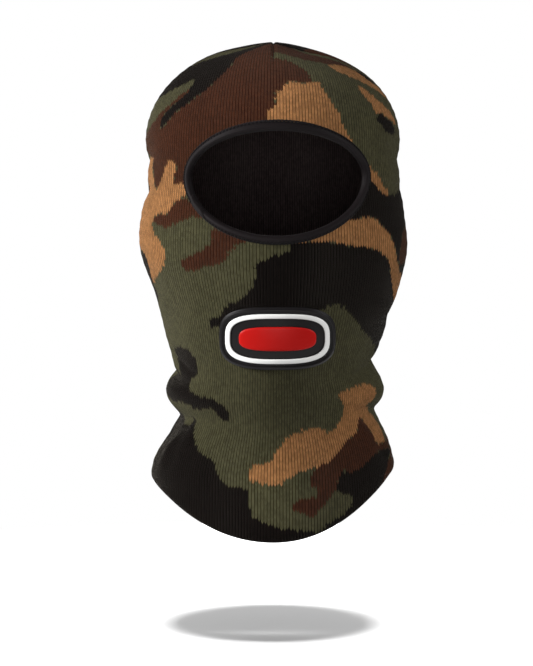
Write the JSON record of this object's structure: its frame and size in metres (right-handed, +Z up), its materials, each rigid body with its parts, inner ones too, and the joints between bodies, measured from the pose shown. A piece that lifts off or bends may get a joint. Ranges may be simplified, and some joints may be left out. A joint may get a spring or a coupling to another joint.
{
  "type": "balaclava",
  "caption": "Knitted balaclava covering head, face and neck, with an oval face opening in a satin binding, a camouflage outer layer, a black lining and an oval rubber patch at the chin.",
  "frame": {"origin": "middle of the wearer's head, at ear level: the mount named head", "axes": "+Z up the head, the face looks along -Y, +X is the wearer's left"},
  "size_m": [0.178, 0.21, 0.327],
  "materials": {
    "camo_knit": "matte jacquard-knitted acrylic in green, black, brown and tan",
    "lining_knit": "matte black fine knit",
    "binding_tape": "black satin fold-over elastic",
    "sewing_thread": "black polyester thread",
    "patch_rubber_black": "matte moulded soft PVC",
    "patch_rubber_white": "matte moulded soft PVC",
    "patch_rubber_red": "matte moulded soft PVC",
    "label_satin": "white woven satin, blank"
  },
  "bodies": {
    "root": {"outer_front_panel": "camo_knit", "outer_back_panel": "camo_knit", "lining_front_panel": "lining_knit", "lining_back_panel": "lining_knit", "face_binding": "binding_tape", "face_binding_stitching": "sewing_thread", "side_seam_overlock_left": "sewing_thread", "side_seam_overlock_right": "sewing_thread", "crown_dart_overlock_front": "sewing_thread", "crown_dart_overlock_back": "sewing_thread", "hem_overlock": "sewing_thread", "patch_base": "patch_rubber_black", "patch_ring": "patch_rubber_white", "patch_bar": "patch_rubber_red", "care_label": "label_satin"}
  },
  "joints": []
}
